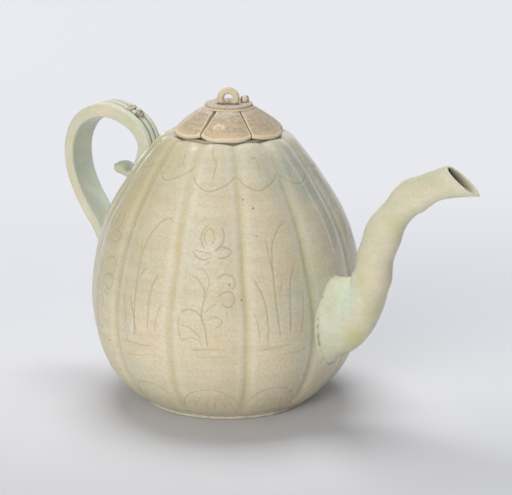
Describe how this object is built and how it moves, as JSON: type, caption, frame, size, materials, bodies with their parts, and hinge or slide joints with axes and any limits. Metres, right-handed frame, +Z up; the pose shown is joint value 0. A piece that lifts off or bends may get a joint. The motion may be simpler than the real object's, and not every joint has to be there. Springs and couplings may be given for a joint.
{
  "type": "melon shaped ewer",
  "caption": "Lobed melon shaped stoneware ewer with a curved spout, a ridged strap handle and a lift-off petalled lid with a small coiled loop.",
  "frame": {"origin": "centre of the foot's resting face, on the body's axis", "axes": "+Z up, +X from the body's axis towards the spout's lip, the handle on the -X side"},
  "size_m": [0.3226, 0.1778, 0.207],
  "materials": {
    "body_glaze": "thin grey-green glaze over beige stoneware",
    "foot_clay": "bare fired clay with a glaze edge",
    "spout_glaze": "thin yellow-green glaze",
    "handle_glaze": "thin green glaze",
    "bare_clay": "broken clay",
    "lid_glaze": "thin matte brown-beige glaze"
  },
  "bodies": {
    "ewer": {"body_shell": "body_glaze", "foot_ring": "foot_clay", "mouth_collar": "body_glaze", "spout_root": "spout_glaze", "spout_tube": "spout_glaze", "handle_strap": "handle_glaze", "handle_curl": "handle_glaze", "tether_stub_front": "bare_clay", "tether_stub_rear": "bare_clay"},
    "lid": {"lid_dome": "lid_glaze", "lid_locating_ring": "lid_glaze", "lid_cap_disc": "lid_glaze", "lid_loop": "lid_glaze", "lid_bud": "lid_glaze"}
  },
  "joints": [
    {"name": "lid_lift", "type": "slide", "parent": "ewer", "child": "lid", "axis": [0, 0, 1], "range_m": [0, 0.06]}
  ]
}
